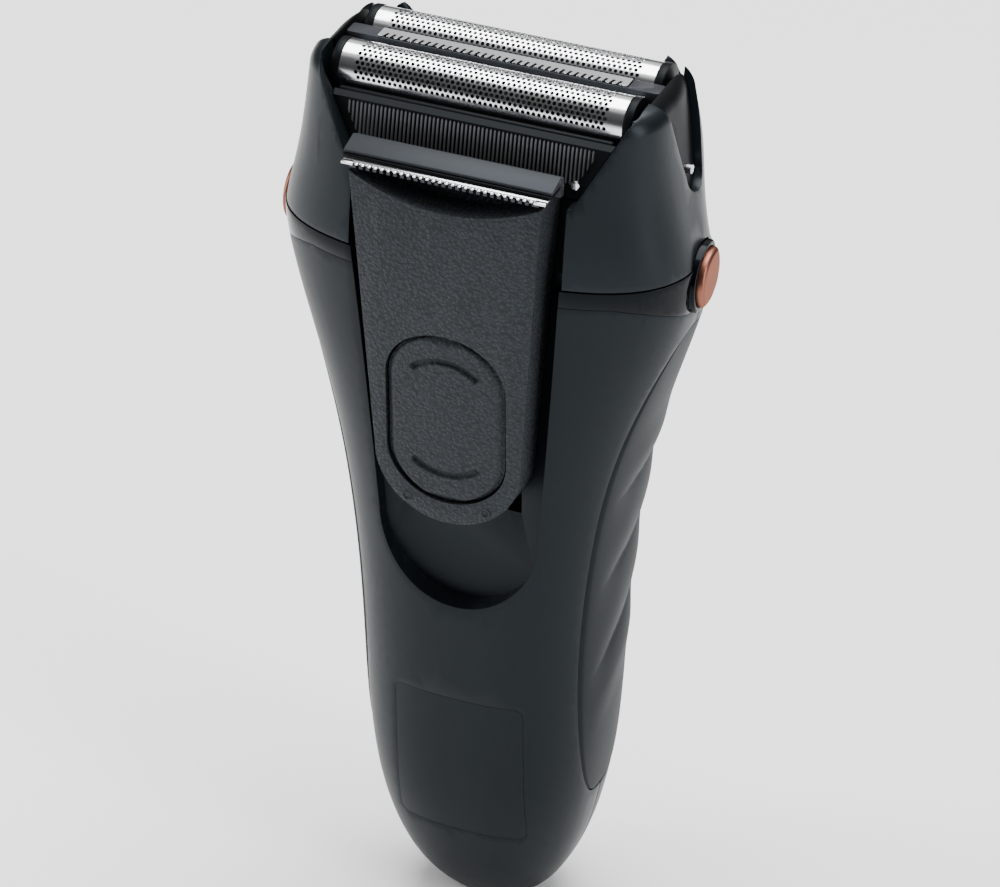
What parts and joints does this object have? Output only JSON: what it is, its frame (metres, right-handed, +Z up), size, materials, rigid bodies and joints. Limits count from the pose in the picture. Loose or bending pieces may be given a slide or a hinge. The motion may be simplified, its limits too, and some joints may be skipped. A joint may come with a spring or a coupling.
{
  "type": "foil shaver",
  "caption": "Cordless foil shaver with floating foils, a middle cutter bar, a lift-off head, side release buttons and a sliding pop-up trimmer on a waisted handle.",
  "frame": {"origin": "mouth of the round charging socket, in the middle of the flat underside of the handle", "axes": "+Z up along the handle to the foils, -Y towards the trimmer side, +X to the right seen from the trimmer side"},
  "size_m": [0.0744, 0.0433, 0.1623],
  "materials": {
    "soft_touch": "soft-touch satin black",
    "head_plastic": "satin slate black",
    "grained": "leather-grained dark grey",
    "gloss_black": "polished black",
    "grip_rubber": "matt ridged rubber",
    "copper": "satin copper",
    "grey_satin": "satin grey",
    "black_plastic": "moulded black",
    "foil_steel": "polished, perforated",
    "blade_steel": "ground bright steel",
    "steel": "plain steel",
    "brass": "bright brass",
    "board": "solder mask",
    "cell_wrap": "shrink sleeve",
    "light_lens": "clear lens",
    "nylon": "natural nylon"
  },
  "bodies": {
    "handle": {"front_shell": "soft_touch", "rear_shell": "soft_touch", "front_inlay": "soft_touch", "latch_band": "gloss_black", "side_grip_left": "grip_rubber", "side_grip_right": "grip_rubber", "button_bezel_left": "gloss_black", "button_bezel_right": "gloss_black", "release_spring_left": "steel", "release_spring_right": "steel", "neck_collar": "black_plastic", "drive_seal": "grip_rubber", "case_screws": "steel", "motor_can": "steel", "inner_chassis": "black_plastic", "battery_cell": "cell_wrap", "battery_tabs": "steel", "circuit_board": "board", "power_switch": "black_plastic", "switch_cap": "grip_rubber", "charge_lights": "light_lens", "charge_socket": "black_plastic", "socket_contact": "brass"},
    "release_left": {"release_button_left": "copper"},
    "release_right": {"release_button_right": "copper"},
    "rotor": {"motor_shaft": "steel", "crank": "nylon"},
    "bridge": {"drive_bridge": "nylon"},
    "head": {"head_casing": "head_plastic", "foil_cassette": "black_plastic", "front_rail": "gloss_black", "rear_rail": "gloss_black", "ribbed_apron": "black_plastic", "cassette_arms": "gloss_black", "arm_pins": "steel", "apron_screws": "blade_steel"},
    "front_float": {"front_foil": "foil_steel", "front_foil_frame": "black_plastic"},
    "rear_float": {"rear_foil": "foil_steel", "rear_foil_frame": "black_plastic"},
    "middle_float": {"middle_bar": "grey_satin", "middle_comb": "blade_steel"},
    "front_swing": {"front_cutter": "blade_steel", "front_cutter_spring": "steel"},
    "rear_swing": {"rear_cutter": "blade_steel", "rear_cutter_spring": "steel"},
    "middle_swing": {"middle_cutter": "blade_steel"},
    "trimmer": {"trimmer_panel": "grained", "button_spring": "steel", "panel_guides": "black_plastic", "trimmer_block": "grey_satin", "trimmer_lip": "black_plastic", "trimmer_blade": "blade_steel"},
    "trimmer_swing": {"trimmer_cutter": "blade_steel", "trimmer_lever": "nylon"},
    "power": {"power_button": "grained"}
  },
  "joints": [
    {"name": "release_left_press", "type": "slide", "parent": "handle", "child": "release_left", "axis": [1, 0, 0], "range_m": [0, 0.0012], "stiffness_N_per_m": 900, "springref_m": -0.0006, "deforming": ["release_spring_left"]},
    {"name": "release_right_press", "type": "slide", "parent": "handle", "child": "release_right", "axis": [-1, 0, 0], "range_m": [0, 0.0012], "stiffness_N_per_m": 900, "springref_m": -0.0006, "deforming": ["release_spring_right"]},
    {"name": "motor_spin", "type": "hinge", "parent": "handle", "child": "rotor", "pos_m": [0, 0.0008, 0.1], "axis": [0, 0, 1], "continuous": true},
    {"name": "bridge_swing", "type": "slide", "parent": "handle", "child": "bridge", "axis": [1, 0, 0], "range_m": [-0.0009, 0.0009], "stiffness_N_per_m": 400},
    {"name": "head_lift", "type": "slide", "parent": "handle", "child": "head", "axis": [0, 0, 1], "range_m": [0, 0.03]},
    {"name": "front_foil_float", "type": "slide", "parent": "head", "child": "front_float", "axis": [0, 0, -1], "range_m": [0, 0.0015], "stiffness_N_per_m": 500, "springref_m": -0.001},
    {"name": "rear_foil_float", "type": "slide", "parent": "head", "child": "rear_float", "axis": [0, 0, -1], "range_m": [0, 0.0015], "stiffness_N_per_m": 500, "springref_m": -0.001},
    {"name": "middle_bar_float", "type": "slide", "parent": "head", "child": "middle_float", "axis": [0, 0, -1], "range_m": [0, 0.001], "stiffness_N_per_m": 500, "springref_m": -0.001},
    {"name": "front_cutter_swing", "type": "slide", "parent": "front_float", "child": "front_swing", "axis": [1, 0, 0], "range_m": [-0.0009, 0.0009], "deforming": ["front_cutter_spring"]},
    {"name": "rear_cutter_swing", "type": "slide", "parent": "rear_float", "child": "rear_swing", "axis": [1, 0, 0], "range_m": [-0.0009, 0.0009], "deforming": ["rear_cutter_spring"]},
    {"name": "middle_cutter_swing", "type": "slide", "parent": "middle_float", "child": "middle_swing", "axis": [1, 0, 0], "range_m": [-0.0009, 0.0009]},
    {"name": "trimmer_slide", "type": "slide", "parent": "handle", "child": "trimmer", "axis": [0, 0, -1], "range_m": [0, 0.013]},
    {"name": "trimmer_cutter_swing", "type": "slide", "parent": "trimmer", "child": "trimmer_swing", "axis": [1, 0, 0], "range_m": [-0.0009, 0.0009]},
    {"name": "power_press", "type": "slide", "parent": "trimmer", "child": "power", "axis": [0, 1, 0], "range_m": [0, 0.0008], "stiffness_N_per_m": 900, "springref_m": -0.0006, "deforming": ["button_spring"]}
  ],
  "couplings": [
    {"joint": "front_cutter_swing", "follows": "bridge_swing", "ratio": 1},
    {"joint": "rear_cutter_swing", "follows": "bridge_swing", "ratio": 1},
    {"joint": "middle_cutter_swing", "follows": "bridge_swing", "ratio": 1},
    {"joint": "trimmer_cutter_swing", "follows": "bridge_swing", "ratio": 1}
  ]
}
